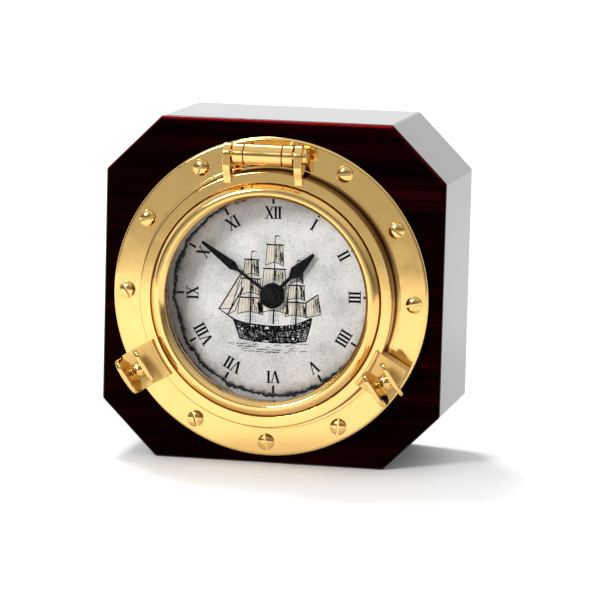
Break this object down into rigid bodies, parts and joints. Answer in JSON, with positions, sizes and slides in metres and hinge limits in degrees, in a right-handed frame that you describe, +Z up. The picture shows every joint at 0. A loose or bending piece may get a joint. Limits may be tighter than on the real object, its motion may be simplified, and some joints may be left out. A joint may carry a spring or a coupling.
{
  "type": "porthole desk clock",
  "caption": "Desk clock shaped as a ship's opening porthole: a hinged brass bezel with wing-screw dogs on a chamfered hardwood block, over a dial with two hands.",
  "frame": {"origin": "centre of the block's footprint, on the surface it stands on", "axes": "+Z up, the dial and porthole face -Y, +X is to the viewer's right"},
  "size_m": [0.108, 0.07, 0.108],
  "materials": {
    "lacquered_wood": "high gloss lacquer",
    "polished_brass": "mirror polish",
    "plain_brass": "turned",
    "steel": "turned",
    "clear_glass": "polished",
    "black_rubber": "matte",
    "dial_paper": "printed",
    "black_paint": "satin",
    "black_plastic": "moulded",
    "white_plastic": "moulded",
    "battery_label": "printed sleeve",
    "black_board": "fine grain"
  },
  "bodies": {
    "case": {"wood_block": "lacquered_wood", "base_flange": "polished_brass", "flange_screws": "polished_brass", "hinge_bracket": "polished_brass", "hinge_sleeve": "polished_brass", "dial": "dial_paper", "dial_nut": "black_plastic", "movement_bush": "plain_brass", "movement_gasket": "black_rubber", "movement_tray": "black_plastic", "movement_lid": "black_plastic", "battery": "battery_label", "rear_cover": "black_board", "cover_screws": "plain_brass"},
    "porthole": {"bezel_ring": "polished_brass", "lens": "clear_glass", "lens_seal": "black_rubber", "lens_retainer": "plain_brass", "porthole_seal": "black_rubber", "hinge_arm_left": "polished_brass", "hinge_arm_right": "polished_brass", "hinge_pin": "polished_brass", "dog_ear_left": "polished_brass", "dog_ear_right": "polished_brass"},
    "minute_train": {"minute_hand": "black_paint", "minute_arbor": "steel", "minute_wheel": "white_plastic", "hand_cap": "black_paint"},
    "hour_train": {"hour_hand": "black_paint", "hour_pipe": "plain_brass", "hour_wheel": "white_plastic"},
    "setting_knob": {"set_knob": "black_plastic"},
    "left_washer": {"dog_washer_left": "plain_brass"},
    "left_dog": {"dog_left": "polished_brass"},
    "right_washer": {"dog_washer_right": "plain_brass"},
    "right_dog": {"dog_right": "polished_brass"}
  },
  "joints": [
    {"name": "porthole_hinge", "type": "hinge", "parent": "case", "child": "porthole", "pos_m": [0, -0.026, 0.098], "axis": [-1, 0, 0], "range_deg": [0, 110]},
    {"name": "left_dog_lift", "type": "slide", "parent": "porthole", "child": "left_washer", "axis": [0, -1, 0], "range_m": [0, 0.005]},
    {"name": "left_dog_turn", "type": "hinge", "parent": "left_washer", "child": "left_dog", "pos_m": [-0.03891, -0.022, 0.02962], "axis": [0, -1, 0], "range_deg": [0, 1800]},
    {"name": "right_dog_lift", "type": "slide", "parent": "porthole", "child": "right_washer", "axis": [0, -1, 0], "range_m": [0, 0.005]},
    {"name": "right_dog_turn", "type": "hinge", "parent": "right_washer", "child": "right_dog", "pos_m": [0.03912, -0.022, 0.02996], "axis": [0, -1, 0], "range_deg": [0, 1800]},
    {"name": "minute_turn", "type": "hinge", "parent": "case", "child": "minute_train", "pos_m": [0, -0.016, 0.053], "axis": [0, 1, 0], "continuous": true},
    {"name": "hour_turn", "type": "hinge", "parent": "case", "child": "hour_train", "pos_m": [0, -0.016, 0.053], "axis": [0, 1, 0], "continuous": true},
    {"name": "set_knob_turn", "type": "hinge", "parent": "case", "child": "setting_knob", "pos_m": [0.014, 0.01, 0.067], "axis": [0, 1, 0], "continuous": true}
  ],
  "couplings": [
    {"joint": "left_dog_turn", "follows": "left_dog_lift", "rad_per_m": 6283.2},
    {"joint": "right_dog_turn", "follows": "right_dog_lift", "rad_per_m": 6283.2},
    {"joint": "hour_turn", "follows": "minute_turn", "ratio": 0.083333},
    {"joint": "set_knob_turn", "follows": "minute_turn", "ratio": 1}
  ]
}
